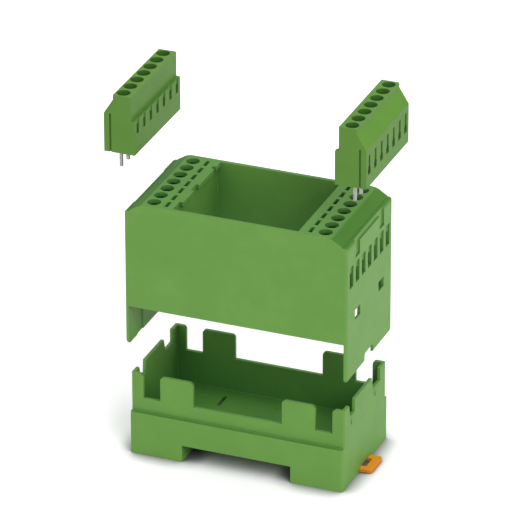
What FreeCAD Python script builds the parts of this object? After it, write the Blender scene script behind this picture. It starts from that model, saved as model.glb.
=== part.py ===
"""Electronics housing that snaps onto a 35 mm top-hat mounting rail, shown taken apart.

A box-shaped lower housing stands on two feet with the rail recess between them and carries a
sliding foot catch. The upper housing hangs above it, straight over its closed place. Two rows of
screw terminal blocks stand above the ends of the upper housing, each with its clamp screws,
clamp cages and solder pins.

Frame: X across the rail, Y along the rail, Z up. The origin is the centre of the rail seat,
the flat face between the feet that lies on the rail. All lengths are millimetres.
"""
import FreeCAD, Part
import os
import Sketcher

os.makedirs("parts", exist_ok=True)
doc = FreeCAD.newDocument("rail_housing")
sheet = doc.addObject("Spreadsheet::Sheet", "sizes")
V = FreeCAD.Vector
parts = []
rows = [0]


class Size:
    """A length that knows its number and its formula in the words of the sheet."""

    def __init__(self, text, value):
        self.text = text
        self.value = value

    def __add__(self, other):
        return Size("(%s + %s)" % (self.text, words(other)), self.value + number(other))

    def __radd__(self, other):
        return Size("(%s + %s)" % (words(other), self.text), number(other) + self.value)

    def __sub__(self, other):
        return Size("(%s - %s)" % (self.text, words(other)), self.value - number(other))

    def __rsub__(self, other):
        return Size("(%s - %s)" % (words(other), self.text), number(other) - self.value)

    def __mul__(self, other):
        return Size("(%s * %s)" % (self.text, words(other)), self.value * number(other))

    def __rmul__(self, other):
        return Size("(%s * %s)" % (words(other), self.text), number(other) * self.value)

    def __truediv__(self, other):
        return Size("(%s / %s)" % (self.text, words(other)), self.value / number(other))

    def __neg__(self):
        return Size("(0 - %s)" % self.text, -self.value)


def number(quantity):
    return quantity.value if isinstance(quantity, Size) else float(quantity)


def words(quantity):
    return quantity.text if isinstance(quantity, Size) else "%.9g" % float(quantity)


def size(alias, value, note):
    """Put one driving size on the sheet and hand back its name and number."""
    rows[0] += 1
    row = str(rows[0])
    sheet.set("A" + row, note)
    sheet.set("B" + row, repr(value))
    sheet.setAlias("B" + row, alias)
    return Size("sizes." + alias, float(value))


# Rail, feet and lower housing
rail_gap = size("rail_gap", 35.1, "width of the recess between the feet, for a 35 mm rail")
foot_deep = size("foot_deep", 5.5, "height of the feet below the rail seat")
base_len = size("base_len", 68.6, "length of the lower housing across the rail")
base_wide = size("base_wide", 37.5, "width of the housing along the rail")
block_high = size("block_high", 14.0, "height of the wide lower block above the foot plane")
rim_high = size("rim_high", 26.7, "height of the tabs on the rim above the foot plane")
rim_low = size("rim_low", 18.5, "height of the low stretches of the long walls above the foot plane")
end_low = size("end_low", 22.5, "height of the notches in the end walls above the foot plane")
base_wall = size("base_wall", 1.1, "thickness of the long walls of the lower housing")
base_end_wall = size("base_end_wall", 1.0, "thickness of the end walls of the lower housing")
floor_thick = size("floor_thick", 2.0, "thickness of the floor above the rail seat")
corner_long = size("corner_long", 3.85, "length of the corner tabs on the long walls")
tab_long = size("tab_long", 10.65, "length of the tabs on the long walls")
notch_long = size("notch_long", 5.5, "length of the notches between the tabs and the corners")
tab_round = size("tab_round", 1.2, "radius of the upper corners of the tabs")
end_tab = size("end_tab", 3.9, "length of the front corner tabs on the end walls")
end_notch = size("end_notch", 5.0, "length of the front notch in the end walls")
end_taper = size("end_taper", 0.9, "slope of the sides of the front notch")
end_panel = size("end_panel", 14.0, "length of the tall middle panel of the end walls")
end_slope = size("end_slope", 1.2, "length of the slope behind the middle panel")
back_notch = size("back_notch", 6.0, "length of the notch behind the slope")
edge_round = size("edge_round", 0.6, "radius of the upright corners of the lower housing")
foot_wall = size("foot_wall", 1.5, "wall thickness of the hollow feet")
foot_roof = size("foot_roof", 1.5, "material left above the hollows of the feet")
hook_reach = size("hook_reach", 2.3, "reach of the fixed hooks under the rail")
hook_drop = size("hook_drop", 1.25, "space between the rail seat and the hooks, for the rail's flange")
hook_thick = size("hook_thick", 1.9, "thickness of the fixed hooks")
hook_long = size("hook_long", 6.5, "length of each fixed hook along the rail")
hook_slot_wide = size("hook_slot_wide", 1.1, "width of the floor slots above the fixed hooks")
hook_from = size("hook_from", 5.9, "distance from the middle to the inner end of each fixed hook")

# Foot catch
slide_gap = size("slide_gap", 0.1, "running clearance around the foot catch")
catch_half = size("catch_half", 4.75, "half width of the foot catch")
catch_thick = size("catch_thick", 1.0, "thickness of the catch's plate")
catch_out = size("catch_out", 4.0, "how far the catch stands out of the end wall")
catch_rise = size("catch_rise", 0.1, "gap between the catch and the foot plane")
catch_nose = size("catch_nose", 2.7, "length of the catch's nose")
catch_bite = size("catch_bite", 1.2, "reach of the catch's nose under the rail")
catch_round = size("catch_round", 1.0, "radius of the outer corners of the catch")
tongue_out = size("tongue_out", 0.5, "how far the guide tongues stand out of the catch's sides")
tongue_thick = size("tongue_thick", 0.5, "thickness of the guide tongues")
tongue_low = size("tongue_low", 0.25, "height of the tongues above the catch's underside")
rib_thick = size("rib_thick", 1.6, "thickness of the two ribs that guide the catch")
tool_slot = size("tool_slot", 2.3, "length of the screwdriver slot in the catch along X")
tool_half = size("tool_half", 2.6, "half width of the screwdriver slot in the catch")
tool_in = size("tool_in", 0.9, "how far the screwdriver slot reaches in under the end wall")
bond = size("bond", 0.2, "how far joined shapes run into each other, and cuts past a wall")
overrun = size("overrun", 1.0, "how far cutting shapes run past the faces that they cut")
catch_travel = size("catch_travel", 2.5, "travel of the catch when it is pulled outwards")

# Upper housing
fit_gap = size("fit_gap", 0.1, "clearance between the upper and lower housing, each side")
hood_wall = size("hood_wall", 1.3, "thickness of the long walls of the upper housing")
hood_end = size("hood_end", 1.0, "thickness of the end walls of the upper housing")
hood_top = size("hood_top", 1.5, "thickness of the top of the upper housing")
hood_side_high = size("hood_side_high", 34.25, "height of the long walls of the upper housing")
hood_end_high = size("hood_end_high", 47.0, "height of the end walls of the upper housing")
facet_in = size("facet_in", 5.2, "distance from the end face to the flat top")
facet_drop = size("facet_drop", 3.4, "drop from the flat top to the upright end face")
crease_in = size("crease_in", 1.3, "distance from the end face to the crease below the facet")
crease_drop = size("crease_drop", 2.35, "drop of the crease's upper edge")
crease_wide = size("crease_wide", 0.34, "width of the crease")
crease_deep = size("crease_deep", 0.35, "depth of the crease")
lip_round = size("lip_round", 0.9, "size of the rounded lip outside the crease")
bay_long = size("bay_long", 15.1, "length of the terminal bays, end face to partition face")
part_thick = size("part_thick", 1.2, "thickness of the partitions")
part_deep = size("part_deep", 19.6, "depth of the partitions below the top")
lip_left = size("lip_left", 1.1, "overhang of the left lip of the window")
lip_right = size("lip_right", 0.7, "overhang of the right lip of the window")
lip_notch_a = size("lip_notch_a", -12.0, "end of the first notch in the left lip")
lip_notch_b = size("lip_notch_b", -3.9, "start of the second notch in the left lip")
lip_notch_c = size("lip_notch_c", 0.7, "end of the second notch in the left lip")
lip_notch_d = size("lip_notch_d", 12.1, "start of the third notch in the left lip")
lip_notch_e = size("lip_notch_e", 14.1, "end of the third notch in the left lip")
ways = size("ways", 7, "number of terminals in a row")
pitch = size("pitch", 5.0, "distance from terminal to terminal")
screw_back = size("screw_back", 8.2, "distance from the end face to the row of screw holes")
driver_hole = size("driver_hole", 4.2, "diameter of the screwdriver holes in the top")
test_back = size("test_back", 12.6, "distance from the end face to the row of test slots")
test_wide = size("test_wide", 1.2, "width of the test slots")
test_long = size("test_long", 3.6, "length of the test slots")
wire_wide = size("wire_wide", 3.0, "width of the wire slots in the end faces")
wire_from = size("wire_from", 9.9, "distance from the top to the wire slots")
wire_high = size("wire_high", 6.9, "height of the wire slots")
wire_deep = size("wire_deep", 0.6, "depth of the wire slots above their openings")
wire_open_high = size("wire_open_high", 4.2, "height of the openings at the foot of the wire slots")
snap_at = size("snap_at", 9.8, "distance from the middle to the snap windows")
snap_wide = size("snap_wide", 4.4, "width of the snap windows")
snap_from = size("snap_from", 25.65, "distance from the top to the snap windows")
snap_high = size("snap_high", 3.2, "height of the snap windows")
lug_out = size("lug_out", 0.3, "how far the snap lugs stand out of the end walls")
lug_high = size("lug_high", 2.4, "height of the snap lugs")
lug_flat = size("lug_flat", 1.0, "height of the upright face of the snap lugs")
lug_gap = size("lug_gap", 0.3, "gap around the snap lugs in their windows and grooves")
groove_deep = size("groove_deep", 0.3, "depth of the lead-in grooves for the snap lugs")
notch_half = size("notch_half", 3.7, "half width of the catch notch in the right end wall")
notch_high = size("notch_high", 2.9, "height of the catch notch")
notch_round = size("notch_round", 1.2, "radius of the upper corners of the catch notch")
label_wide = size("label_wide", 3.6, "width of the label holder's channels")
label_deep = size("label_deep", 0.6, "depth of the label holder's channels")
label_from = size("label_from", 2.4, "distance from the top to the label channels")
label_high = size("label_high", 6.1, "height of the label channels")
band_from = size("band_from", 2.4, "distance from the top to the label groove")
band_high = size("band_high", 1.7, "height of the label groove")
hood_round = size("hood_round", 0.8, "radius of the upright corners of the upper housing")
bend_round = size("bend_round", 5.0, "radius of the bends between the flat top and the facets")
tip_round = size("tip_round", 1.4, "radius of the lower corners of the end walls")
hood_lift = size("hood_lift", 35.6, "height of the upper housing above its closed place")

# Terminal blocks
block_width = size("block_width", 8.6, "width of the upper part of a terminal block")
block_step = size("block_step", 1.2, "width of the ledge on a terminal block")
block_tall = size("block_tall", 18.7, "height of a terminal block")
ledge_drop = size("ledge_drop", 7.9, "distance from the top of a block to its ledge")
face_tall = size("face_tall", 12.4, "height of the upright outer face of a block")
slant_wide = size("slant_wide", 3.0, "width of the slanted face of a block")
slant_tall = size("slant_tall", 4.8, "height of the slanted face of a block")
screw_in = size("screw_in", 5.4, "distance from the outer face of a block to its screws")
head_hole = size("head_hole", 4.1, "diameter of the screw holes of a block")
head_seat = size("head_seat", 7.3, "depth of the seats of the screw heads")
shank_hole = size("shank_hole", 3.2, "diameter of the holes for the screws' shanks")
cell_top = size("cell_top", 8.5, "distance from the top to the cage cells")
cell_floor = size("cell_floor", 1.1, "thickness of the floor below the cage cells")
cell_wide = size("cell_wide", 3.8, "width of the cage cells along the row")
cell_out = size("cell_out", 2.7, "reach of the cage cells outwards from the screws")
cell_in = size("cell_in", 3.4, "reach of the cage cells inwards from the screws")
mouth_wide = size("mouth_wide", 1.5, "width of the wire mouths in the outer face")
mouth_low = size("mouth_low", 3.9, "height of the wire mouths above the foot of a block")
mouth_high = size("mouth_high", 6.2, "height of the wire mouths")
mouth_deep = size("mouth_deep", 0.5, "depth of the wire mouths")
entry_wide = size("entry_wide", 2.2, "width of the wire entries")
entry_high = size("entry_high", 2.2, "height of the wire entries")
probe_from = size("probe_from", 1.7, "distance from the ledge to the test slots of a block")
probe_wide = size("probe_wide", 1.8, "width of the test slots of a block")
probe_high = size("probe_high", 2.8, "height of the test slots of a block")
probe_lead = size("probe_lead", 0.35, "depth of the grooves that lead down to the test slots")
key_in = size("key_in", 2.0, "distance from the outer face to the grooves in the end faces")
key_wide = size("key_wide", 0.6, "width of the grooves in the end faces")
key_deep = size("key_deep", 0.5, "depth of the grooves in the end faces")
left_out = size("left_out", 9.35, "how far the left block stands outside its closed place")
left_up = size("left_up", 34.0, "height of the left block above the top of the upper housing")
right_out = size("right_out", 8.1, "how far the right block stands outside its closed place")
right_up = size("right_up", 36.0, "height of the right block above the top of the upper housing")

# Clamp screws, cages and pins
part_gap = size("part_gap", 0.1, "clearance between the metal pieces and their holes")
head_tall = size("head_tall", 1.9, "height of the screw heads")
screw_thick = size("screw_thick", 2.9, "diameter of the screws' shanks")
cross_wide = size("cross_wide", 0.7, "width of the screwdriver slots in the screw heads")
cross_deep = size("cross_deep", 0.9, "depth of the screwdriver slots in the screw heads")
bar_thick = size("bar_thick", 0.8, "thickness of the contact bars")
bar_from = size("bar_from", 12.5, "distance from the top of a block to the contact bars")
bar_out = size("bar_out", 1.8, "reach of the contact bars outwards from the screws")
strip_wide = size("strip_wide", 0.8, "width of the solder pins and contact bars")
sole_thick = size("sole_thick", 0.55, "thickness of the pins' soles below the cages")
riser_thick = size("riser_thick", 0.6, "thickness of the pins' risers beside the cages")
pin_in = size("pin_in", 4.4, "distance from the outer face of a block to its pins")
pin_thick = size("pin_thick", 0.9, "thickness of the solder pins")
pin_long = size("pin_long", 5.3, "length of the solder pins below the blocks")
cage_wide = size("cage_wide", 3.5, "width of the clamp cages along the row")
cage_half = size("cage_half", 2.4, "half depth of the clamp cages")
cage_wall = size("cage_wall", 0.6, "wall thickness of the clamp cages")
cage_roof = size("cage_roof", 1.2, "thickness of the threaded roof of the clamp cages")
cage_room = size("cage_room", 0.2, "space between the contact bars and the roofs of the cages")
cage_rest = size("cage_rest", 1.3, "space below the clamp cages in their cells")

doc.recompute()

# Heights that follow from the sizes, from the rail seat upwards
foot_z = -foot_deep
ledge_z = block_high - foot_deep
rim_z = rim_high - foot_deep
side_step = hood_wall + fit_gap
upper_half = base_wide / 2 - side_step
hood_half = base_len / 2 + fit_gap + hood_end
hood_z = ledge_z + hood_side_high + hood_lift
corner_in = base_len / 2 - corner_long
tab_out = corner_in - notch_long
tab_in = tab_out - tab_long
part_in = hood_half - bay_long
screw_row = hood_half - screw_back
test_row = hood_half - test_back
cell_deep = block_tall - cell_floor
mouth_from = block_tall - mouth_low - mouth_high
block_half = ways * pitch / 2
first_way = -(ways - 1) * pitch / 2


def bind(thing, name, quantity):
    """Tie one property to its formula, starting from its number."""
    if isinstance(quantity, Size):
        thing.setExpression(name, quantity.text)
    elif "." not in name:
        setattr(thing, name, quantity)


def new_body(name):
    piece = doc.addObject("PartDesign::Body", name)
    piece.Label = name
    parts.append(piece)
    return piece


def origin_of(body, role):
    """The body's own plane or axis of that role."""
    for feature in body.Origin.OriginFeatures:
        if feature.Role == role:
            return feature
    raise RuntimeError("no " + role)


def place(body, x=0.0, y=0.0, z=0.0):
    body.Placement = FreeCAD.Placement(V(number(x), number(y), number(z)), FreeCAD.Rotation())
    for axis, value in (("x", x), ("y", y), ("z", z)):
        if isinstance(value, Size):
            body.setExpression("Placement.Base." + axis, value.text)


def new_sketch(body, name, role, offset=0.0):
    """A sketch on one of the body's planes, moved along the plane's normal by offset."""
    sketch = body.newObject("Sketcher::SketchObject", name)
    sketch.AttachmentSupport = [(origin_of(body, role), "")]
    sketch.MapMode = "FlatFace"
    sketch.AttachmentOffset = FreeCAD.Placement(V(0, 0, number(offset)), FreeCAD.Rotation())
    if isinstance(offset, Size):
        sketch.setExpression("AttachmentOffset.Base.z", offset.text)
    return sketch


def fix(sketch, kind, geometry, end, quantity):
    """Hold one point of a sketch at a distance from the sketch's origin."""
    index = sketch.addConstraint(Sketcher.Constraint(kind, -1, 1, geometry, end, number(quantity)))
    if isinstance(quantity, Size):
        sketch.setExpression("Constraints[%d]" % index, quantity.text)


def add_polygon(sketch, points):
    """A closed outline through points, each corner held by its two distances."""
    first = sketch.GeometryCount
    count = len(points)
    for index, point in enumerate(points):
        following = points[(index + 1) % count]
        start = V(number(point[0]), number(point[1]), 0)
        stop = V(number(following[0]), number(following[1]), 0)
        sketch.addGeometry(Part.LineSegment(start, stop), False)
    for index in range(count):
        joint = (first + index, 2, first + (index + 1) % count, 1)
        sketch.addConstraint(Sketcher.Constraint("Coincident", *joint))
    for index, point in enumerate(points):
        fix(sketch, "DistanceX", first + index, 1, point[0])
        fix(sketch, "DistanceY", first + index, 1, point[1])


def add_box(sketch, x_low, x_high, y_low, y_high):
    add_polygon(sketch, [(x_low, y_low), (x_high, y_low), (x_high, y_high), (x_low, y_high)])


def add_circle(sketch, x, y, diameter):
    centre = V(number(x), number(y), 0)
    index = sketch.addGeometry(Part.Circle(centre, V(0, 0, 1), number(diameter) / 2), False)
    fix(sketch, "DistanceX", index, 3, x)
    fix(sketch, "DistanceY", index, 3, y)
    held = sketch.addConstraint(Sketcher.Constraint("Diameter", index, number(diameter)))
    if isinstance(diameter, Size):
        sketch.setExpression("Constraints[%d]" % held, diameter.text)


def polygon_sketch(body, name, role, outlines, offset=0.0):
    sketch = new_sketch(body, name, role, offset)
    for outline in outlines:
        add_polygon(sketch, outline)
    return sketch


def box_sketch(body, name, role, boxes, offset=0.0):
    sketch = new_sketch(body, name, role, offset)
    for box in boxes:
        add_box(sketch, *box)
    return sketch


def extrude(body, kind, sketch, name, length, symmetric, reverse):
    feature = body.newObject("PartDesign::" + kind, name)
    feature.Profile = (sketch, [""])
    feature.SideType = "Symmetric" if symmetric else "One side"
    feature.Reversed = reverse
    feature.Length = number(length)
    bind(feature, "Length", length)
    return feature


def pad(body, sketch, name, length, symmetric=False, reverse=False):
    return extrude(body, "Pad", sketch, name, length, symmetric, reverse)


def pocket(body, sketch, name, length, symmetric=False, reverse=False):
    return extrude(body, "Pocket", sketch, name, length, symmetric, reverse)


def repeat(body, features, name, axis, spacing, count):
    """A straight row of features along one of the body's axes."""
    row = body.newObject("PartDesign::LinearPattern", name)
    row.Originals = features
    row.Direction = (origin_of(body, axis), [""])
    row.Mode = "Spacing"
    row.Offset = number(spacing)
    row.Occurrences = int(round(number(count)))
    bind(row, "Offset", spacing)
    bind(row, "Occurrences", count)
    body.Tip = row
    return row


def mirror(body, features, name, role):
    copy = body.newObject("PartDesign::Mirrored", name)
    copy.Originals = features
    copy.MirrorPlane = (origin_of(body, role), [""])
    body.Tip = copy
    return copy


def round_edges(body, name, radius, wanted):
    """Round the edges of the body's last shape for which wanted(edge) holds."""
    doc.recompute()
    last = body.Tip
    picked = []
    for index, edge in enumerate(last.Shape.Edges):
        if wanted(edge):
            picked.append("Edge%d" % (index + 1))
    if not picked:
        raise RuntimeError("no edges for " + name)
    feature = body.newObject("PartDesign::Fillet", name)
    feature.Base = (last, picked)
    feature.Radius = number(radius)
    bind(feature, "Radius", radius)
    doc.recompute()
    return feature


def runs_along(edge, axis):
    """True for a straight edge that runs along the axis given as 0, 1 or 2."""
    if len(edge.Vertexes) != 2:
        return False
    start, stop = edge.Vertexes[0].Point, edge.Vertexes[1].Point
    span = [abs(stop[k] - start[k]) for k in range(3)]
    return span[axis] > 1e-4 and sum(span) - span[axis] < 1e-4


def near(value, *others):
    return any(abs(value - number(other)) < 1e-3 for other in others)


def middle(edge):
    box = edge.BoundBox
    return V((box.XMin + box.XMax) / 2, (box.YMin + box.YMax) / 2, (box.ZMin + box.ZMax) / 2)


# Lower housing: feet and wide block, then the narrower walls that the upper housing slips over
base = new_body("lower_housing")
half_len = base_len / 2
half_rail = rail_gap / 2
outline = [(-half_len, foot_z), (-half_rail, foot_z), (-half_rail, 0.0), (half_rail, 0.0),
           (half_rail, foot_z), (half_len, foot_z), (half_len, ledge_z), (-half_len, ledge_z)]
pad(base, polygon_sketch(base, "foot_section", "XZ_Plane", [outline]), "foot_block", base_wide,
    symmetric=True)
walls = box_sketch(base, "wall_outline", "XY_Plane",
                   [(-half_len, half_len, -upper_half, upper_half)], ledge_z)
pad(base, walls, "wall_block", rim_high - block_high)
inner_x = half_len - base_end_wall
inner_y = upper_half - base_wall
room = box_sketch(base, "room_outline", "XY_Plane", [(-inner_x, inner_x, -inner_y, inner_y)], rim_z)
pocket(base, room, "room", rim_z - floor_thick)

# Low stretches and notches in both long walls
low_z = rim_low - foot_deep
over = rim_z + overrun
gaps = box_sketch(base, "long_wall_gaps", "XZ_Plane",
                  [(-tab_in, tab_in, low_z, over), (tab_out, corner_in, low_z, over),
                   (-corner_in, -tab_out, low_z, over)])
pocket(base, gaps, "long_wall_notches", base_wide, symmetric=True)

# Notches in both end walls, with the slopes beside the tall middle panel
end_z = end_low - foot_deep
y0 = -upper_half + end_tab
y1 = y0 + end_notch
y2 = y1 + end_panel
y3 = y2 + end_slope
y4 = y3 + back_notch
front_gap = [(y0, over), (y0, rim_z), (y0 + end_taper, end_z), (y1 - end_taper / 3, end_z),
             (y1, rim_z), (y1, over)]
back_gap = [(y2, over), (y2, rim_z), (y3, end_z), (y4, end_z), (y4, over)]
ends = polygon_sketch(base, "end_wall_gaps", "YZ_Plane", [front_gap, back_gap])
pocket(base, ends, "end_wall_notches", base_len + overrun, symmetric=True)

# Fixed hooks under the left edge of the rail, with the slots in the floor above them
hook_a = -hook_drop
hook_b = -(hook_drop + hook_thick)
hook_x = -half_rail + hook_reach
hook = [(-half_rail - bond, hook_a), (hook_x, hook_a), (hook_x, hook_b + hook_reach / 2),
        (hook_x - hook_reach / 2, hook_b), (-half_rail - bond, hook_b)]
front_hook = pad(base, polygon_sketch(base, "hook_section", "XZ_Plane", [hook], hook_from), "hook",
                 hook_long)
above = box_sketch(base, "hook_slot_outline", "XY_Plane",
                   [(hook_x - hook_slot_wide, hook_x + slide_gap, -(hook_from + hook_long),
                     -hook_from)],
                   floor_thick)
hook_slot = pocket(base, above, "hook_slot", floor_thick)
mirror(base, [front_hook, hook_slot], "back_hook", "XZ_Plane")

# Hollows of the feet, open below, with the two ribs that guide the catch in the right foot
guide_half = catch_half + slide_gap
rib_out = guide_half + rib_thick
foot_in = half_rail + foot_wall
foot_out = half_len - foot_wall
foot_y = base_wide / 2 - foot_wall
hollow_deep = foot_deep + floor_thick - foot_roof
hollows = box_sketch(base, "foot_hollow_outline", "XY_Plane",
                     [(-foot_out, -foot_in, foot_wall / 2, foot_y),
                      (-foot_out, -foot_in, -foot_y, -foot_wall / 2),
                      (foot_in, foot_out, rib_out, foot_y),
                      (foot_in, foot_out, -foot_y, -rib_out)], foot_z)
pocket(base, hollows, "foot_hollows", hollow_deep, reverse=True)

# Way of the catch: a high bay for its nose, a low passage through the end wall, two grooves
nose_top = -hook_drop
bay_out = half_rail - catch_bite + catch_nose + catch_travel + slide_gap
plate_low = foot_z + catch_rise
plate_top = plate_low + catch_thick
bay = box_sketch(base, "nose_bay_outline", "XY_Plane",
                 [(half_rail - bond, bay_out, -guide_half, guide_half)], foot_z)
pocket(base, bay, "nose_bay", foot_deep + nose_top + slide_gap, reverse=True)
passage = box_sketch(base, "passage_outline", "XY_Plane",
                     [(bay_out - bond, half_len + overrun, -guide_half, guide_half)], foot_z)
pocket(base, passage, "passage", catch_rise + catch_thick + slide_gap, reverse=True)
tongue_z = plate_low + tongue_low
tongue_y = catch_half + tongue_out
groove = box_sketch(base, "tongue_groove_outline", "YZ_Plane",
                    [(-tongue_y - slide_gap, tongue_y + slide_gap, tongue_z - slide_gap,
                      tongue_z + tongue_thick + slide_gap)], half_rail + foot_wall)
pocket(base, groove, "tongue_grooves", base_len, reverse=True)

# Snap lugs on the end faces, with a ramp on top; they reach into the windows of the upper housing
lug_low = ledge_z + hood_side_high - snap_from - snap_high + lug_gap
lug_x = half_len + lug_out
lug = [(half_len - bond, lug_low), (lug_x, lug_low), (lug_x, lug_low + lug_flat),
       (half_len, lug_low + lug_high), (half_len - bond, lug_low + lug_high)]
lug_half = snap_wide / 2 - lug_gap
lug_sketch = polygon_sketch(base, "lug_section", "XZ_Plane", [lug], snap_at - lug_half)
right_lug = pad(base, lug_sketch, "lug", lug_half * 2)
lug_back = mirror(base, [right_lug], "back_lug", "XZ_Plane")
left_sketch = polygon_sketch(base, "left_lug_section", "XZ_Plane",
                             [[(-x, z) for x, z in lug]], snap_at - lug_half)
left_lug = pad(base, left_sketch, "left_lug", lug_half * 2)
mirror(base, [left_lug], "left_back_lug", "XZ_Plane")


def tab_corner(edge):
    """Upper corners of the tabs on the long walls."""
    where = middle(edge)
    return (runs_along(edge, 1) and near(where.z, rim_z)
            and near(abs(where.x), tab_in, tab_out, corner_in))


def base_corner(edge):
    """Upright corners of the lower housing, wide block and walls."""
    where = middle(edge)
    return (runs_along(edge, 2) and near(abs(where.x), half_len)
            and near(abs(where.y), base_wide / 2, upper_half))


round_edges(base, "tab_corners", tab_round, tab_corner)
round_edges(base, "upright_corners", edge_round, base_corner)

# Foot catch: a flat plate with a nose that grips the rail and a slot for a screwdriver
catch = new_body("foot_catch")
catch_x0 = half_rail - catch_bite
catch_x1 = half_len + catch_out
plate = box_sketch(catch, "plate_outline", "XY_Plane",
                   [(catch_x0, catch_x1, -catch_half, catch_half)], plate_low)
pad(catch, plate, "plate", catch_thick)
nose = [(catch_x0, nose_top), (catch_x0, nose_top - hook_thick), (catch_x0 + catch_bite, plate_low),
        (catch_x0 + catch_nose, plate_low), (catch_x0 + catch_nose, nose_top)]
ramp = [(catch_x0 - overrun, plate_low - overrun), (catch_x0 + catch_bite, plate_low - overrun),
        (catch_x0 + catch_bite, plate_low), (catch_x0, nose_top - hook_thick),
        (catch_x0 - overrun, nose_top - hook_thick)]
pad(catch, polygon_sketch(catch, "nose_section", "XZ_Plane", [nose]), "nose", catch_half * 2,
    symmetric=True)
pocket(catch, polygon_sketch(catch, "ramp_section", "XZ_Plane", [ramp]), "ramp",
       catch_half * 2 + overrun, symmetric=True)
tongues = box_sketch(catch, "tongue_outline", "XY_Plane",
                     [(bay_out, foot_out, -tongue_y, tongue_y)], tongue_z)
pad(catch, tongues, "tongues", tongue_thick)
tool_x = half_len - tool_in
tool = box_sketch(catch, "tool_slot_outline", "XY_Plane",
                  [(tool_x, tool_x + tool_slot, -tool_half, tool_half)], plate_top)
pocket(catch, tool, "tool_slot", catch_thick)
round_edges(catch, "outer_corners", catch_round,
            lambda edge: runs_along(edge, 2) and near(middle(edge).x, catch_x1))

# Upper housing, modelled from its top downwards and lifted off the lower housing
hood = new_body("upper_housing")
place(hood, 0.0, 0.0, hood_z)
flat_x = hood_half - facet_in
crease_x = hood_half - crease_in
crease = crease_wide / 2
shoulder = [(hood_half, -facet_drop), (hood_half - lip_round * 0.3, lip_round * 0.7 - facet_drop),
            (hood_half - lip_round, lip_round - facet_drop), (crease_x + crease, -crease_drop),
            (crease_x, -crease_drop - crease_deep), (crease_x - crease, -crease_drop), (flat_x, 0.0)]
shell = ([(-hood_half, -hood_side_high), (hood_half, -hood_side_high)] + shoulder
         + [(-x, z) for x, z in reversed(shoulder)])
pad(hood, polygon_sketch(hood, "shell_section", "XZ_Plane", [shell]), "shell", base_wide,
    symmetric=True)
legs = box_sketch(hood, "end_wall_section", "XZ_Plane",
                  [(hood_half - hood_end, hood_half, -hood_end_high, -hood_side_high),
                   (-hood_half, hood_end - hood_half, -hood_end_high, -hood_side_high)])
pad(hood, legs, "end_walls", base_wide, symmetric=True)


def top_bend(edge):
    where = middle(edge)
    return runs_along(edge, 1) and near(where.z, 0.0) and near(abs(where.x), flat_x)


def hood_corner(edge):
    where = middle(edge)
    return (runs_along(edge, 2) and near(abs(where.x), hood_half)
            and near(abs(where.y), base_wide / 2))


def leg_tip(edge):
    where = middle(edge)
    return (runs_along(edge, 0) and abs(where.x) > number(hood_half - hood_end)
            and near(abs(where.y), base_wide / 2) and near(where.z, -hood_end_high))


round_edges(hood, "top_bends", bend_round, top_bend)
round_edges(hood, "leg_tips", tip_round, leg_tip)
round_edges(hood, "upright_corners_of_hood", hood_round, hood_corner)
in_x = hood_half - hood_end
in_y = base_wide / 2 - hood_wall
inner_shoulder = [(in_x, -hood_end_high - overrun), (in_x, -facet_drop - hood_end),
                  (crease_x - hood_end, -crease_drop - hood_top), (flat_x - crease_in / 4, -hood_top)]
hollow = inner_shoulder + [(-x, z) for x, z in reversed(inner_shoulder)]
pocket(hood, polygon_sketch(hood, "hollow_section", "XZ_Plane", [hollow]), "hollow", in_y * 2,
       symmetric=True)
partitions = box_sketch(hood, "partition_outline", "XY_Plane",
                        [(part_in, part_in + part_thick, -in_y - bond, in_y + bond),
                         (-(part_in + part_thick), -part_in, -in_y - bond, in_y + bond)],
                        bond - hood_top)
pad(hood, partitions, "partitions", part_deep - hood_top + bond, reverse=True)

# Window in the top, with the notched lip on its left side
left_lip = -part_in + lip_left
window = [(part_in - lip_right, -in_y), (part_in - lip_right, in_y), (left_lip, in_y),
          (left_lip, lip_notch_e), (-part_in, lip_notch_e), (-part_in, lip_notch_d),
          (left_lip, lip_notch_d), (left_lip, lip_notch_c), (-part_in, lip_notch_c),
          (-part_in, lip_notch_b), (left_lip, lip_notch_b), (left_lip, lip_notch_a),
          (-part_in, lip_notch_a), (-part_in, -in_y)]
pocket(hood, polygon_sketch(hood, "window_outline", "XY_Plane", [window]), "window", hood_top)

# Rows of screwdriver holes and test slots over the terminals
drivers = new_sketch(hood, "driver_hole_outline", "XY_Plane")
add_circle(drivers, screw_row, first_way, driver_hole)
add_circle(drivers, -screw_row, first_way, driver_hole)
driver_holes = pocket(hood, drivers, "driver_holes", hood_top + bond)
half_test = test_wide / 2
tests = box_sketch(hood, "test_slot_outline", "XY_Plane",
                   [(test_row - half_test, test_row + half_test, first_way - test_long / 2,
                     first_way + test_long / 2),
                    (-test_row - half_test, half_test - test_row, first_way - test_long / 2,
                     first_way + test_long / 2)])
test_slots = pocket(hood, tests, "test_slots", hood_top + bond)
repeat(hood, [driver_holes, test_slots], "top_rows", "Y_Axis", pitch, ways)

# Wire slots in both end faces, each with its opening at the foot
wire_box = (first_way - wire_wide / 2, first_way + wire_wide / 2, -wire_from - wire_high, -wire_from)
open_box = (first_way - wire_wide / 2, first_way + wire_wide / 2,
            -wire_from - wire_high, wire_open_high - wire_from - wire_high)
wire_features = []
for word, offset, turned in (("right", hood_half, False), ("left", -hood_half, True)):
    slots = box_sketch(hood, word + "_wire_slot_outline", "YZ_Plane", [wire_box], offset)
    wire_features.append(pocket(hood, slots, word + "_wire_slot", wire_deep, reverse=turned))
    opens = box_sketch(hood, word + "_wire_opening_outline", "YZ_Plane", [open_box], offset)
    wire_features.append(pocket(hood, opens, word + "_wire_opening", hood_end + bond,
                                reverse=turned))
repeat(hood, wire_features, "wire_rows", "Y_Axis", pitch, ways)


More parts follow.
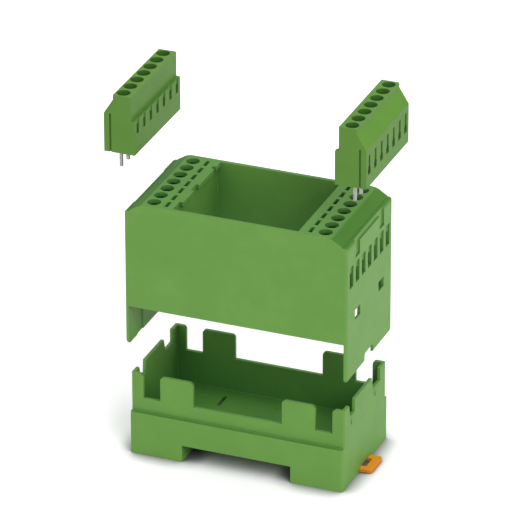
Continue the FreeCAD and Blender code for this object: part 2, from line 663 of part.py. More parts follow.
def both_ends(name, boxes, depth):
    """The same pocket in the right and the left end face."""
    right = box_sketch(hood, name + "_right_outline", "YZ_Plane", boxes, hood_half)
    pocket(hood, right, name + "_right", depth)
    left = box_sketch(hood, name + "_left_outline", "YZ_Plane", boxes, -hood_half)
    pocket(hood, left, name + "_left", depth, reverse=True)


def around(centre, width, low, high):
    return (centre - width / 2, centre + width / 2, low, high)


both_ends("snap_window", [around(-snap_at, snap_wide, -snap_from - snap_high, -snap_from),
                          around(snap_at, snap_wide, -snap_from - snap_high, -snap_from)],
          hood_end + bond)
second = first_way + pitch
label_boxes = [around(second, label_wide, -label_from - label_high, -label_from),
               around(-second, label_wide, -label_from - label_high, -label_from)]
both_ends("label_channel", label_boxes, label_deep)
both_ends("label_groove", [(second + label_wide / 2, -second - label_wide / 2,
                            -band_from - band_high, -band_from)], label_deep)

# Grooves that let the snap lugs pass up to their windows
for name, offset, turned in (("right_lead_in", in_x, True), ("left_lead_in", -in_x, False)):
    lead = box_sketch(hood, name + "_outline", "YZ_Plane",
                      [around(-snap_at, snap_wide, -hood_end_high, -snap_from - snap_high / 2),
                       around(snap_at, snap_wide, -hood_end_high, -snap_from - snap_high / 2)],
                      offset)
    pocket(hood, lead, name, groove_deep, reverse=turned)

# Notch over the catch in the right end wall
catch_notch = box_sketch(hood, "catch_notch_outline", "YZ_Plane",
                         [(-notch_half, notch_half, -hood_end_high - overrun,
                           notch_high - hood_end_high)], hood_half)
pocket(hood, catch_notch, "catch_notch", hood_end + bond)


def notch_corner(edge):
    where = middle(edge)
    return (runs_along(edge, 0) and where.x > 0 and near(abs(where.y), notch_half)
            and near(where.z, notch_high - hood_end_high))


round_edges(hood, "notch_corners", notch_round, notch_corner)


def terminal_block(name, side, x, z):
    """Housing of one terminal row. side is 1 where the wires enter from +X and -1 from -X."""
    body = new_body(name)
    place(body, x, 0.0, z)

    def outer(value):
        return value if side > 0 else -value

    face = outer(screw_in)
    slant = outer(screw_in - slant_wide)
    back = outer(-(block_width - screw_in))
    step = outer(-(block_width - screw_in + block_step))
    section = [(face, -block_tall), (face, face_tall - block_tall),
               (slant, face_tall + slant_tall - block_tall), (slant, 0.0), (back, 0.0),
               (back, -ledge_drop), (step, -ledge_drop), (step, -block_tall)]
    pad(body, polygon_sketch(body, name + "_section", "XZ_Plane", [section]), name + "_block",
        block_half * 2, symmetric=True)
    heads = new_sketch(body, name + "_head_outline", "XY_Plane")
    add_circle(heads, 0.0, first_way, head_hole)
    head = pocket(body, heads, name + "_head_hole", head_seat)
    shanks = new_sketch(body, name + "_shank_outline", "XY_Plane")
    add_circle(shanks, 0.0, first_way, shank_hole)
    shank = pocket(body, shanks, name + "_shank_hole", cell_top + bond)
    if side > 0:
        cell_box = [(-cell_in, cell_out, -cell_deep, -cell_top)]
    else:
        cell_box = [(-cell_out, cell_in, -cell_deep, -cell_top)]
    cells = box_sketch(body, name + "_cell_outline", "XZ_Plane", cell_box, -first_way)
    cell = pocket(body, cells, name + "_cell", cell_wide, symmetric=True)
    way = first_way
    mouths = box_sketch(body, name + "_mouth_outline", "YZ_Plane",
                        [around(way, mouth_wide, -mouth_from - mouth_high, -mouth_from)], face)
    mouth = pocket(body, mouths, name + "_mouth", mouth_deep, reverse=side < 0)
    entries = box_sketch(body, name + "_entry_outline", "YZ_Plane",
                         [around(way, entry_wide, -mouth_from - mouth_high,
                                 entry_high - mouth_from - mouth_high)], face)
    entry = pocket(body, entries, name + "_entry", screw_in - cell_out + bond, reverse=side < 0)
    slot_top = -ledge_drop - probe_from
    probes = box_sketch(body, name + "_probe_outline", "YZ_Plane",
                        [around(way, probe_wide, slot_top - probe_high, slot_top)], step)
    probe = pocket(body, probes, name + "_probe", block_step, reverse=side > 0)
    leads = box_sketch(body, name + "_lead_outline", "YZ_Plane",
                       [around(way, probe_wide, slot_top - bond, -ledge_drop)], step)
    lead = pocket(body, leads, name + "_lead", probe_lead, reverse=side > 0)
    half_hole = pin_thick / 2 + part_gap
    pin_x = outer(screw_in - pin_in)
    pins = box_sketch(body, name + "_pin_outline", "XY_Plane",
                      [(pin_x - half_hole, pin_x + half_hole, way - half_hole, way + half_hole)],
                      -block_tall)
    pin_hole = pocket(body, pins, name + "_pin_hole", cell_floor + part_gap, reverse=True)
    repeat(body, [head, shank, cell, mouth, entry, probe, lead, pin_hole], name + "_row", "Y_Axis",
           pitch, ways)
    key = outer(screw_in - key_in)
    for label, offset, turned in (("front", block_half, False), ("back", -block_half, True)):
        keys = box_sketch(body, name + "_" + label + "_key_outline", "XZ_Plane",
                          [(key - key_wide / 2, key + key_wide / 2, -block_tall,
                            face_tall - block_tall)], offset)
        pocket(body, keys, name + "_" + label + "_key", key_deep, reverse=turned)
    return body


def clamp_screw(name, x, y, z):
    """Slotted clamp screw: a round head and a plain shank, turned about its own axis."""
    body = new_body(name)
    place(body, x, y, z - head_seat)
    head_r = head_hole / 2 - part_gap
    shank_r = screw_thick / 2
    length = bar_from - head_seat - part_gap
    half = [(0.0, -length), (shank_r, -length), (shank_r, 0.0), (head_r, 0.0), (head_r, head_tall),
            (0.0, head_tall)]
    sketch = polygon_sketch(body, name + "_section", "XZ_Plane", [half])
    turned = body.newObject("PartDesign::Revolution", name + "_turned")
    turned.Profile = (sketch, [""])
    turned.ReferenceAxis = (sketch, ["V_Axis"])
    turned.Angle = 360.0
    slot = box_sketch(body, name + "_slot_outline", "XY_Plane",
                      [(-cross_wide / 2, cross_wide / 2, -head_r - overrun, head_r + overrun)], head_tall)
    pocket(body, slot, name + "_slot", cross_deep)
    return body


def clamp_cage(name, x, y, z):
    """Square metal cage, open along X, that the screw draws up against the contact bar."""
    body = new_body(name)
    place(body, x, y, z)
    roof = cage_room - bar_from
    sole = cage_rest - cell_deep
    tube = box_sketch(body, name + "_outline", "YZ_Plane",
                      [(-cage_wide / 2, cage_wide / 2, sole, roof + cage_roof)])
    pad(body, tube, name + "_tube", cage_half * 2, symmetric=True)
    inner = cage_wide / 2 - cage_wall
    opening = box_sketch(body, name + "_opening", "YZ_Plane",
                         [(-inner, inner, sole + cage_wall, roof)])
    pocket(body, opening, name + "_inside", cage_half * 2 + overrun, symmetric=True)
    thread = new_sketch(body, name + "_thread_outline", "XY_Plane", roof + cage_roof)
    add_circle(thread, 0.0, 0.0, screw_thick + part_gap)
    pocket(body, thread, name + "_thread", cage_roof + part_gap)
    return body


def solder_pin(name, side, x, y, z):
    """Contact bar inside the cage, a riser beside the cage and the pin below the block."""
    body = new_body(name)
    place(body, x, y, z)
    bar_top = -bar_from
    riser_out = cell_in - part_gap / 2
    riser_in = riser_out - riser_thick
    sole_low = part_gap / 2 - cell_deep
    sole_top = sole_low + sole_thick
    leg = screw_in - pin_in
    half = pin_thick / 2
    outline_right = [(leg - half, -block_tall - pin_long), (leg + half, -block_tall - pin_long),
                     (leg + half, sole_top), (-riser_in, sole_top),
                     (-riser_in, bar_top - bar_thick), (bar_out, bar_top - bar_thick),
                     (bar_out, bar_top), (-riser_out, bar_top), (-riser_out, sole_low),
                     (leg - half, sole_low)]
    if side < 0:
        outline_right = [(-px, pz) for px, pz in outline_right]
    sketch = polygon_sketch(body, name + "_outline", "XZ_Plane", [outline_right])
    pad(body, sketch, name + "_strip", strip_wide, symmetric=True)
    return body


# The two terminal rows above the ends of the upper housing
for word, side, out, up in (("left", -1, left_out, left_up), ("right", 1, right_out, right_up)):
    axis_x = screw_row + out if side > 0 else -(screw_row + out)
    top_z = hood_z + up
    terminal_block("terminal_block_" + word, side, axis_x, top_z)
    for index in range(int(ways.value)):
        way_y = first_way + pitch * index
        ending = "%s_%d" % (word, index + 1)
        clamp_screw("clamp_screw_" + ending, axis_x, way_y, top_z)
        clamp_cage("clamp_cage_" + ending, axis_x, way_y, top_z)
        solder_pin("solder_pin_" + ending, side, axis_x, way_y, top_z)

doc.recompute()
for thing in doc.Objects:
    if "Invalid" in thing.State or "Error" in thing.State:
        raise RuntimeError("object %s is %s" % (thing.Label, thing.State))
for piece in parts:
    for feature in piece.Group:
        earlier = getattr(feature, "BaseFeature", None)
        if earlier is None or feature.isDerivedFrom("Sketcher::SketchObject"):
            continue
        change = feature.Shape.Volume - earlier.Shape.Volume
        grows = feature.isDerivedFrom("PartDesign::Pad")
        shrinks = feature.isDerivedFrom("PartDesign::Pocket")
        if abs(change) < 1e-6 or (grows and change < 0) or (shrinks and change > 0):
            raise RuntimeError("%s of %s changes nothing" % (feature.Label, piece.Label))
for piece in parts:
    shape = piece.Shape
    if shape.isNull() or not shape.isValid() or not shape.Solids:
        raise RuntimeError("shape of %s is not sound" % piece.Label)
    if len(shape.Solids) != 1:
        raise RuntimeError("%s has %d solids" % (piece.Label, len(shape.Solids)))
for piece in parts:
    piece.Shape.exportStep("parts/%s.step" % piece.Label)
print("parts", len(parts))
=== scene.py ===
"""Green plastic rail housing, shown taken apart above a pale floor.

The lower housing stands on the floor, the upper housing and the two terminal rows stand above it.
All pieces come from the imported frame; this script gives them their finish, adds the ejector marks
of the lower housing's mould, and sets the light and the camera. Lengths are metres.
"""
import math

import bpy
import numpy as np
from mathutils import Matrix, Vector


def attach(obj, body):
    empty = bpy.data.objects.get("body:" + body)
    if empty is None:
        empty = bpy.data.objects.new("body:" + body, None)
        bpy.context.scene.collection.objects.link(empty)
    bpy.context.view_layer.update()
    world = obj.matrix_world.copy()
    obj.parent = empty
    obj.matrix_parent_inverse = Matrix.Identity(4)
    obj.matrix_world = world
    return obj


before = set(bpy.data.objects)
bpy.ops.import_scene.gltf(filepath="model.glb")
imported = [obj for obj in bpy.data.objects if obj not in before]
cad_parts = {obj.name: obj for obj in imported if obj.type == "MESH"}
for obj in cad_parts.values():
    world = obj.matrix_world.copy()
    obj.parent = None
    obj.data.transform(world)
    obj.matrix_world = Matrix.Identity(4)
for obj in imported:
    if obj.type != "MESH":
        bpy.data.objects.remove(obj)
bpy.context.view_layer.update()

MM = 0.001
FLOOR_Z = -5.5 * MM      # the feet stand this far below the rail seat

# Camera, matched to the photograph
CAMERA_AIM = Vector((-0.34, 0.0, 57.9)) * MM
CAMERA_FAR = 1660.95 * MM
CAMERA_TURN = math.radians(21.89)
CAMERA_TILT = math.radians(26.70)
CAMERA_ROLL = math.radians(-0.13)
LENS_MM = 389.59
SENSOR_MM = 36.0
CAMERA_SEES = (0.05, 20.0)   # nearest and farthest distance

# Studio
FLOOR_REACH = 6.0
FLOOR_SIDES = 96
FLOOR_BOUNCE = "#DADADA"
FLOOR_SEEN = "#C8C7C9"    # given twice, so that only a real shadow falls below white
FLOOR_PAINTED_SHADOW = "#47464B"   # painted shadow where the floor meets the feet, also given twice
PAINTED_SHADOW_REACH = 7 * MM   # and how far that painted shadow reaches
PAINTED_SHADOW_OPEN = (0.4, 0.97)   # shares of open sky between which the painted shadow fades out
WORLD_LIGHT = 1.02       # strength of the soft light from high up
LOW_LIGHT = 0.35         # share of it that comes from near the horizon
LOW_HIGH = (0.05, 0.5)   # sines of the height angles between which it grows
HORIZON_HIGH = 0.3       # sine of the height angle up to which the surroundings are white
CEILING_LOW = 0.6        # and from which they are as dim as CEILING_SEEN
CEILING_SEEN = 0.3
WHITE = (1.0, 1.0, 1.0, 1.0)

# Far lamps: the way to each, the share of full light it gives a face turned to it, and the angle
# that it fills as seen from the object
LAMPS = {
    "key_lamp": ((0.58, -0.53, 0.62), 0.36, 30.0),
}

# Moulded plastic
FLOW_SIZE = 14 * MM      # streaks that the melt left as it flowed
CLOUD_SIZE = 3.2 * MM    # smaller clouds between them
GRAIN_SIZE = 0.16 * MM   # spark-eroded grain, drawn as coarse as it needs to show
GRAIN_DEEP = 0.02 * MM
PLASTIC_EDGE = 0.28 * MM     # radius of the rounded edges and of their painted highlight
HOLLOW_REACH = 40 * MM       # how far a hollow looks for walls that shade it
HOLLOW_OPEN = (0.05, 0.8)    # shares of open sky between which the painted shade of hollows fades out
# These two also set where the painted light and shade of slanted and level faces begins
SLANTED = (0.3, 0.5)     # upward share of a face's direction from which it counts as slanted
LEVEL = (0.93, 0.98)     # and from which it counts as level
EDGE_HIGHLIGHT_BEND = (0.995, 0.82)   # cosine of the bend at an edge, from none to the most painted highlight
EDGE_HIGHLIGHT_SHARE = 0.55      # how much of the paler painted highlight tone such an edge takes
COARSER = 0.25           # how much rougher the slanted faces are
PLASTIC_IOR = 1.5
PLASTIC_SPECULAR = 0.2

# Plated metal
DRAWN_SIZE = 0.12 * MM   # width of the fine drawing marks
DRAWN_LONG = 0.12        # their scale along Z, which draws them out
DRAWN_DEEP = 0.01 * MM
PATCH_SIZE = 1.1 * MM    # duller patches of the plating
METAL_EDGE = 0.08 * MM

# Ejector marks: the two surfaces that carry them, their places there and their size
ROOM_FLOOR_Z = 2.0 * MM      # floor of the lower housing's room
FOOT_ROOF_Z = 0.5 * MM       # roofs of the foot hollows
MARK_OUT = 26.0 * MM         # from the middle to the outer marks, along X
MARK_MIDDLE = 2.0 * MM       # place of the middle pair, along X
FLOOR_MARK_ASIDE = 11.5 * MM     # from the middle to the marks, along Y
ROOF_MARK_ASIDE = 12.0 * MM
MARK_RADIUS = 1.7 * MM
MARK_RISE = 0.08 * MM
MARK_SUNK = 0.05 * MM
MARK_SIDES = 40


def set_camera():
    """Long lens from the front right and above, aimed at the middle of the object."""
    forward = Vector((-math.sin(CAMERA_TURN) * math.cos(CAMERA_TILT),
                      math.cos(CAMERA_TURN) * math.cos(CAMERA_TILT),
                      -math.sin(CAMERA_TILT)))
    right = Vector((math.cos(CAMERA_TURN), math.sin(CAMERA_TURN), 0.0))
    up = right.cross(forward)
    right_rolled = right * math.cos(CAMERA_ROLL) + up * math.sin(CAMERA_ROLL)
    up_rolled = up * math.cos(CAMERA_ROLL) - right * math.sin(CAMERA_ROLL)
    data = bpy.data.cameras.new("camera")
    data.lens = LENS_MM
    data.sensor_width = SENSOR_MM
    data.clip_start, data.clip_end = CAMERA_SEES
    camera = bpy.data.objects.new("camera", data)
    bpy.context.scene.collection.objects.link(camera)
    turn = Matrix((right_rolled, up_rolled, -forward)).transposed().to_4x4()
    camera.matrix_world = Matrix.Translation(CAMERA_AIM - forward * CAMERA_FAR) @ turn
    bpy.context.scene.camera = camera


# Materials
def linear(code):
    """An sRGB hex value as linear red, green, blue, and full alpha."""
    channels = [int(code[k:k + 2], 16) / 255.0 for k in (1, 3, 5)]
    return tuple(c / 12.92 if c <= 0.04045 else ((c + 0.055) / 1.055) ** 2.4
                 for c in channels) + (1.0,)


def add_node(tree, kind, links=None, **settings):
    """One node with its settings and links: a link names an input and what feeds it."""
    node = tree.nodes.new(kind)
    for name, value in settings.items():
        if name.startswith("in_"):
            key = name[3:].replace("_", " ")
            socket = next(s for s in node.inputs if s.name.lower() == key and s.enabled)
            socket.default_value = value
        else:
            setattr(node, name, value)
    for key, source in (links or {}).items():
        socket = node.inputs[key] if isinstance(key, int) else next(
            s for s in node.inputs if s.name == key and s.enabled)
        tree.links.new(source, socket)
    return node


def new_material(name):
    material = bpy.data.materials.new(name)
    material.use_nodes = True
    tree = material.node_tree
    tree.nodes.clear()
    output = add_node(tree, "ShaderNodeOutputMaterial")
    return material, tree, output


def moulded_plastic(name, colour, edge_highlight_tone, upper, sloped, painted_hollow_tone, roughness):
    """Injection-moulded polyamide: satin skin with a fine spark-eroded grain.

    colour is the flat tone, and the next tone a paler painted highlight along bent edges. Level
    upper faces take the tone upper and slanted faces the tone sloped, painted light and shade that
    stands in for how light falls on them; the slanted faces are also rougher, as from a coarser
    part of the mould. Hollows that see little of the outside take the last tone, a deeper green
    painted shade. Slow cloudy streaks show how the melt flowed.
    """
    material, tree, output = new_material(name)
    where = add_node(tree, "ShaderNodeTexCoord").outputs["Object"]
    flow = add_node(tree, "ShaderNodeTexNoise", {"Vector": where}, in_scale=1 / FLOW_SIZE,
                    in_detail=3.0, in_roughness=0.55)
    cloud = add_node(tree, "ShaderNodeTexNoise", {"Vector": where}, in_scale=1 / CLOUD_SIZE,
                     in_detail=2.0, in_roughness=0.5)
    grain = add_node(tree, "ShaderNodeTexNoise", {"Vector": where}, in_scale=1 / GRAIN_SIZE,
                     in_detail=2.0, in_roughness=0.6)
    normal = add_node(tree, "ShaderNodeNewGeometry").outputs["Normal"]
    split = add_node(tree, "ShaderNodeSeparateXYZ", {"Vector": normal})
    # Painted light and shade: level and slanted faces take their own tones for how light falls on
    # them
    slanting = add_node(tree, "ShaderNodeMapRange", {"Value": split.outputs["Z"]}, clamp=True,
                        in_from_min=SLANTED[0], in_from_max=SLANTED[1])
    level = add_node(tree, "ShaderNodeMapRange", {"Value": split.outputs["Z"]}, clamp=True,
                     in_from_min=LEVEL[0], in_from_max=LEVEL[1])
    slope = add_node(tree, "ShaderNodeMix", {"Factor": slanting.outputs["Result"]},
                     data_type="RGBA")
    slope.inputs[6].default_value = linear(colour)
    slope.inputs[7].default_value = linear(sloped)
    base = add_node(tree, "ShaderNodeMix", {"Factor": level.outputs["Result"],
                                            6: slope.outputs[2]}, data_type="RGBA")
    base.inputs[7].default_value = linear(upper)
    flow_share = add_node(tree, "ShaderNodeMapRange", {"Value": flow.outputs["Fac"]}, clamp=True,
                          in_from_min=0.3, in_from_max=0.75, in_to_min=0.94, in_to_max=1.05)
    cloud_share = add_node(tree, "ShaderNodeMapRange", {"Value": cloud.outputs["Fac"]}, clamp=True,
                           in_from_min=0.3, in_from_max=0.7, in_to_min=0.985, in_to_max=1.015)
    both = add_node(tree, "ShaderNodeMath", {0: flow_share.outputs["Result"],
                                             1: cloud_share.outputs["Result"]},
                    operation="MULTIPLY")
    # Painted shade: hollows that see little open sky take a deeper green
    hollow = add_node(tree, "ShaderNodeAmbientOcclusion", samples=8, only_local=True,
                      in_distance=HOLLOW_REACH)
    openness = add_node(tree, "ShaderNodeMapRange", {"Value": hollow.outputs["AO"]}, clamp=True,
                        in_from_min=HOLLOW_OPEN[0], in_from_max=HOLLOW_OPEN[1])
    hollow_shaded = add_node(tree, "ShaderNodeMix", {"Factor": openness.outputs["Result"],
                                             7: base.outputs[2]}, data_type="RGBA")
    hollow_shaded.inputs[6].default_value = linear(painted_hollow_tone)
    tone = add_node(tree, "ShaderNodeVectorMath", {0: hollow_shaded.outputs[2], "Scale": both.outputs[0]},
                    operation="SCALE")
    # Painted highlight: bent edges take a paler tone
    bevel = add_node(tree, "ShaderNodeBevel", samples=6, in_radius=PLASTIC_EDGE)
    bend = add_node(tree, "ShaderNodeVectorMath", {0: bevel.outputs["Normal"], 1: normal},
                    operation="DOT_PRODUCT")
    edge = add_node(tree, "ShaderNodeMapRange", {"Value": bend.outputs["Value"]}, clamp=True,
                    in_from_min=EDGE_HIGHLIGHT_BEND[0], in_from_max=EDGE_HIGHLIGHT_BEND[1], in_to_min=0.0,
                    in_to_max=EDGE_HIGHLIGHT_SHARE)
    edge_highlighted = add_node(tree, "ShaderNodeMix", {"Factor": edge.outputs["Result"],
                                              6: tone.outputs["Vector"]}, data_type="RGBA")
    edge_highlighted.inputs[7].default_value = linear(edge_highlight_tone)
    coarse = add_node(tree, "ShaderNodeMath", {0: slanting.outputs["Result"],
                                               1: level.outputs["Result"]}, operation="SUBTRACT")
    bump = add_node(tree, "ShaderNodeBump", {"Height": grain.outputs["Fac"],
                                             "Normal": bevel.outputs["Normal"]},
                    in_strength=0.22, in_distance=GRAIN_DEEP)
    sheen = add_node(tree, "ShaderNodeMapRange", {"Value": cloud.outputs["Fac"]}, clamp=True,
                     in_from_min=0.25, in_from_max=0.75, in_to_min=roughness - 0.05,
                     in_to_max=roughness + 0.05)
    rough = add_node(tree, "ShaderNodeMath", {0: coarse.outputs[0], 2: sheen.outputs["Result"]},
                     operation="MULTIPLY_ADD")
    rough.inputs[1].default_value = COARSER
    skin = add_node(tree, "ShaderNodeBsdfPrincipled",
                    {"Base Color": edge_highlighted.outputs[2], "Roughness": rough.outputs[0],
                     "Normal": bump.outputs["Normal"]}, in_ior=PLASTIC_IOR,
                    in_specular_ior_level=PLASTIC_SPECULAR)
    tree.links.new(skin.outputs["BSDF"], output.inputs["Surface"])
    return material


def plated_metal(name, colour, dull, roughness):
    """Plated metal: bright skin with fine drawing marks and a few duller patches."""
    material, tree, output = new_material(name)
    where = add_node(tree, "ShaderNodeTexCoord").outputs["Object"]
    stretch = add_node(tree, "ShaderNodeMapping", {"Vector": where})
    stretch.inputs["Scale"].default_value = (1.0, 1.0, DRAWN_LONG)
    marks = add_node(tree, "ShaderNodeTexNoise", {"Vector": stretch.outputs["Vector"]},
                     in_scale=1 / DRAWN_SIZE, in_detail=2.0)
    patches = add_node(tree, "ShaderNodeTexNoise", {"Vector": where}, in_scale=1 / PATCH_SIZE,
                       in_detail=2.0)
    share = add_node(tree, "ShaderNodeMapRange", {"Value": patches.outputs["Fac"]}, clamp=True,
                     in_from_min=0.4, in_from_max=0.7)
    tone = add_node(tree, "ShaderNodeMix", {"Factor": share.outputs["Result"]}, data_type="RGBA")
    tone.inputs[6].default_value = linear(colour)
    tone.inputs[7].default_value = linear(dull)
    rough = add_node(tree, "ShaderNodeMapRange", {"Value": marks.outputs["Fac"]}, clamp=True,
                     in_from_min=0.3, in_from_max=0.7, in_to_min=roughness - 0.06,
                     in_to_max=roughness + 0.1)
    bevel = add_node(tree, "ShaderNodeBevel", samples=4, in_radius=METAL_EDGE)
    bump = add_node(tree, "ShaderNodeBump", {"Height": marks.outputs["Fac"],
                                             "Normal": bevel.outputs["Normal"]},
                    in_strength=0.2, in_distance=DRAWN_DEEP)
    skin = add_node(tree, "ShaderNodeBsdfPrincipled",
                    {"Base Color": tone.outputs[2], "Roughness": rough.outputs["Result"],
                     "Normal": bump.outputs["Normal"]}, in_metallic=1.0)
    tree.links.new(skin.outputs["BSDF"], output.inputs["Surface"])
    return material


def dress(material, *nodes):
    """Give CAD nodes one material."""
    for name in nodes:
        piece = bpy.data.objects[name]
        piece.data.materials.clear()
        piece.data.materials.append(material)


def ejector_marks(name, body, material, spots, radius, rise, sunk, sides):
    """Shallow round marks that the ejector pins of the mould leave, all in one mesh.

    Each spot is a centre x, y, z and the way that the mark faces, 1 up or -1 down. A mark is a
    profile turned about Z: from the middle of its face, a little dished, out to the rim, over a
    small bevel and down into the wall, then back to the middle. A point is centre +
    (r * cos(angle), r * sin(angle), facing * h) for each profile point (r, h).
    """
    bevel = 0.4 * rise
    profile = np.array([(0.35 * radius, 0.5 * rise), (0.8 * radius, 0.6 * rise),
                        (0.9 * radius, rise), (radius - bevel, rise), (radius, rise - bevel),
                        (radius, -sunk)])
    angles = np.linspace(0.0, 2.0 * math.pi, sides, endpoint=False)
    rings = len(profile)
    points, faces = [], []
    for x, y, z, facing in spots:
        base = len(points)
        turn = angles * facing
        grid = np.stack([x + np.outer(profile[:, 0], np.cos(turn)),
                         y + np.outer(profile[:, 0], np.sin(turn)),
                         z + facing * np.repeat(profile[:, 1:2], sides, axis=1)], axis=-1)
        points += grid.reshape(-1, 3).tolist()
        step = np.arange(sides)
        after = (step + 1) % sides
        for ring in range(rings - 1):
            inner, outer = base + ring * sides, base + (ring + 1) * sides
            faces += np.stack([inner + step, outer + step, outer + after, inner + after],
                              axis=1).tolist()
        faces.append((base + step).tolist())
        faces.append((base + (rings - 1) * sides + step[::-1]).tolist())
    mesh = bpy.data.meshes.new(name)
    mesh.from_pydata(points, [], faces)
    mesh.materials.append(material)
    piece = bpy.data.objects.new(name, mesh)
    bpy.context.scene.collection.objects.link(piece)
    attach(piece, body)


def is_camera_like(tree):
    """1 for what the camera sees directly, in a mirror or through glass."""
    path = add_node(tree, "ShaderNodeLightPath")
    first = add_node(tree, "ShaderNodeMath", {0: path.outputs["Is Camera Ray"],
                                              1: path.outputs["Is Glossy Ray"]},
                     operation="MAXIMUM")
    return add_node(tree, "ShaderNodeMath", {0: first.outputs[0],
                                             1: path.outputs["Is Transmission Ray"]},
                    operation="MAXIMUM").outputs[0]


def make_floor():
    """A wide pale disc: white as it is seen, greyer as a reflector of light, with soft shadows and
    a painted shadow where it meets the feet.
    """
    angles = np.linspace(0.0, 2.0 * math.pi, FLOOR_SIDES, endpoint=False)
    ring = np.stack([np.cos(angles) * FLOOR_REACH, np.sin(angles) * FLOOR_REACH,
                     np.full_like(angles, FLOOR_Z)], axis=1)
    mesh = bpy.data.meshes.new("floor")
    mesh.from_pydata(ring.tolist(), [], [list(range(len(ring)))])
    floor = bpy.data.objects.new("floor", mesh)
    bpy.context.scene.collection.objects.link(floor)
    material, tree, output = new_material("white_sweep")
    grey = add_node(tree, "ShaderNodeBsdfDiffuse", in_color=linear(FLOOR_BOUNCE))
    # Painted shadow: the floor is painted darker where the object hides its sky
    near_object = add_node(tree, "ShaderNodeAmbientOcclusion", samples=12,
                           in_distance=PAINTED_SHADOW_REACH)
    openness = add_node(tree, "ShaderNodeMapRange", {"Value": near_object.outputs["AO"]},
                        clamp=True, in_from_min=PAINTED_SHADOW_OPEN[0], in_from_max=PAINTED_SHADOW_OPEN[1])
    painted_shadow = add_node(tree, "ShaderNodeMix", {"Factor": openness.outputs["Result"]},
                    data_type="RGBA")
    painted_shadow.inputs[6].default_value = linear(FLOOR_PAINTED_SHADOW)
    painted_shadow.inputs[7].default_value = linear(FLOOR_SEEN)
    paper = add_node(tree, "ShaderNodeBsdfDiffuse", {"Color": painted_shadow.outputs[2]})
    total = add_node(tree, "ShaderNodeAddShader", {0: paper.outputs["BSDF"],
                                                   1: paper.outputs["BSDF"]})
    mix = add_node(tree, "ShaderNodeMixShader", {"Fac": is_camera_like(tree),
                                                 1: grey.outputs["BSDF"],
                                                 2: total.outputs["Shader"]})
    tree.links.new(mix.outputs["Shader"], output.inputs["Surface"])
    mesh.materials.append(material)


def make_world():
    """White surroundings that grow dim overhead, as in a studio with a dark ceiling.

    Directly seen, mirrored or through glass they are white up to HORIZON_HIGH and dim overhead; as
    light they are strongest from high up and weaker towards the horizon.
    """
    world = bpy.data.worlds.new("studio")
    bpy.context.scene.world = world
    world.use_nodes = True
    tree = world.node_tree
    tree.nodes.clear()
    output = add_node(tree, "ShaderNodeOutputWorld")
    heading = add_node(tree, "ShaderNodeTexCoord").outputs["Generated"]
    split = add_node(tree, "ShaderNodeSeparateXYZ", {"Vector": heading})
    height = add_node(tree, "ShaderNodeMapRange", {"Value": split.outputs["Z"]}, clamp=True,
                      in_from_min=HORIZON_HIGH, in_from_max=CEILING_LOW, in_to_min=1.0,
                      in_to_max=CEILING_SEEN)
    growing = add_node(tree, "ShaderNodeMapRange", {"Value": split.outputs["Z"]}, clamp=True,
                       in_from_min=LOW_HIGH[0], in_from_max=LOW_HIGH[1],
                       in_to_min=WORLD_LIGHT * LOW_LIGHT, in_to_max=WORLD_LIGHT)
    soft = add_node(tree, "ShaderNodeBackground", {"Strength": growing.outputs["Result"]},
                    in_color=WHITE)
    white = add_node(tree, "ShaderNodeBackground", {"Strength": height.outputs["Result"]},
                     in_color=WHITE)
    mix = add_node(tree, "ShaderNodeMixShader", {"Fac": is_camera_like(tree),
                                                 1: soft.outputs["Background"],
                                                 2: white.outputs["Background"]})
    tree.links.new(mix.outputs["Shader"], output.inputs["Surface"])


def soft_lamp(name, heading, share, angle):
    """A far lamp as wide as angle says, whose light comes from heading."""
    data = bpy.data.lights.new(name, "SUN")
    data.energy = share * math.pi
    data.angle = math.radians(angle)
    lamp = bpy.data.objects.new(name, data)
    bpy.context.scene.collection.objects.link(lamp)
    lamp.rotation_euler = (-Vector(heading)).to_track_quat("-Z", "Y").to_euler()


# The scene
bpy.context.scene.view_settings.view_transform = "Standard"
set_camera()

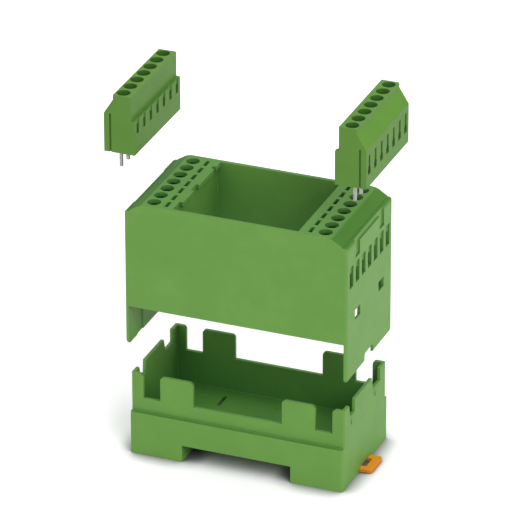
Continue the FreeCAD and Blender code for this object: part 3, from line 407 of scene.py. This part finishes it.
# Each plastic: flat tone, painted edge highlight, painted light and shade of level and of slanted
# faces, and the deeper green painted shade of hollows
housing = moulded_plastic("polyamide_leaf_green", "#699946", "#83AE64", "#5E9140", "#4B7E2E",
                          "#2C6A2E", 0.5)
terminal = moulded_plastic("polyamide_terminal_green", "#5B8736", "#739F50", "#5E8D36", "#5F8F36",
                           "#2F6424", 0.55)
catch = moulded_plastic("polyamide_orange", "#D87F1E", "#E8A458", "#EE941E", "#E08A1C", "#A8500F",
                        0.46)
# The marks are a mesh of their own, which sees no hollow around it, so their flat tone is painted
# darker, as the painted shade of the hollow around them
marks_painted_shade = moulded_plastic("polyamide_leaf_green_painted_shade", "#417B36", "#5B8F4A", "#55873A",
                         "#4B7E2E", "#2C6A2E", 0.5)
# Bare plating: the zinc and the nickel are the brighter ones, the tin on the pins is the dullest
screw = plated_metal("zinc_plated_steel", "#B9BBBC", "#96989A", 0.3)
cage = plated_metal("nickel_plated_steel", "#A9AAA8", "#8E908E", 0.34)
pin = plated_metal("tinned_brass", "#9E9E9D", "#7C7C7B", 0.34)

names = [node if isinstance(node, str) else node["node"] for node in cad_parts]
dress(housing, "lower_housing", "upper_housing")
dress(terminal, "terminal_block_left", "terminal_block_right")
dress(catch, "foot_catch")
dress(screw, *[n for n in names if n.startswith("clamp_screw")])
dress(cage, *[n for n in names if n.startswith("clamp_cage")])
dress(pin, *[n for n in names if n.startswith("solder_pin")])

# Ejector marks on the floor of the lower housing and on the roofs of its foot hollows
floor_spots = [(x, y, ROOM_FLOOR_Z, 1) for x in (-MARK_OUT, MARK_MIDDLE, MARK_OUT)
               for y in (-FLOOR_MARK_ASIDE, FLOOR_MARK_ASIDE)]
roof_spots = [(x, y, FOOT_ROOF_Z, -1) for x in (-MARK_OUT, MARK_OUT)
              for y in (-ROOF_MARK_ASIDE, ROOF_MARK_ASIDE)]
ejector_marks("lower_housing_ejector_marks", "lower_housing", marks_painted_shade,
              floor_spots + roof_spots, MARK_RADIUS, MARK_RISE, MARK_SUNK, MARK_SIDES)

make_floor()
make_world()
for lamp_name, (heading, share, angle) in LAMPS.items():
    soft_lamp(lamp_name, heading, share, angle)
